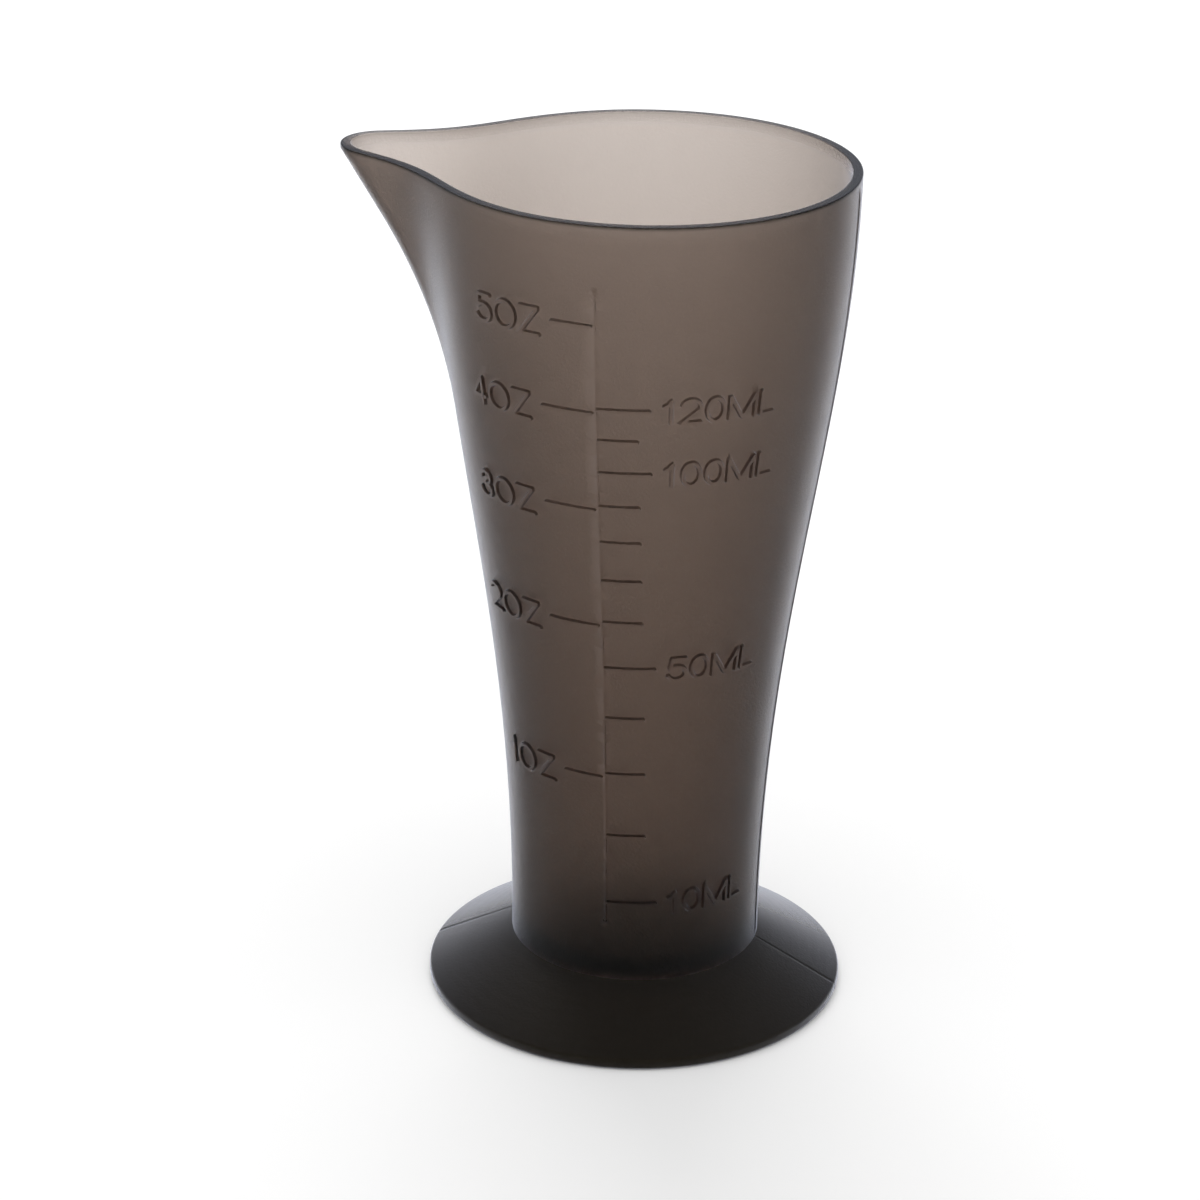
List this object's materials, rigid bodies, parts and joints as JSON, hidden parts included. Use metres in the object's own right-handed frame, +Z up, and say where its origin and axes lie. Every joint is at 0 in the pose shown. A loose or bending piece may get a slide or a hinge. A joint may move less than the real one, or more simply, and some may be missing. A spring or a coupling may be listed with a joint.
{
  "type": "measuring cup",
  "caption": "Tall translucent measuring beaker with a pouring lip and a raised volume scale, standing on a spread conical foot.",
  "frame": {"origin": "on the table, under the middle of the whole outline, so the cup's own axis stands 6.7 mm towards +X", "axes": "+Z up along the cup's axis, the pouring lip towards -X, the volume scale facing -Y"},
  "size_m": [0.0756, 0.0622, 0.1266],
  "materials": {
    "smoke_polypropylene": "smoky translucent polypropylene, frosted outside by a fine spark-eroded mould, smoother inside"
  },
  "bodies": {
    "root": {"vessel": "smoke_polypropylene", "foot": "smoke_polypropylene"}
  },
  "joints": []
}
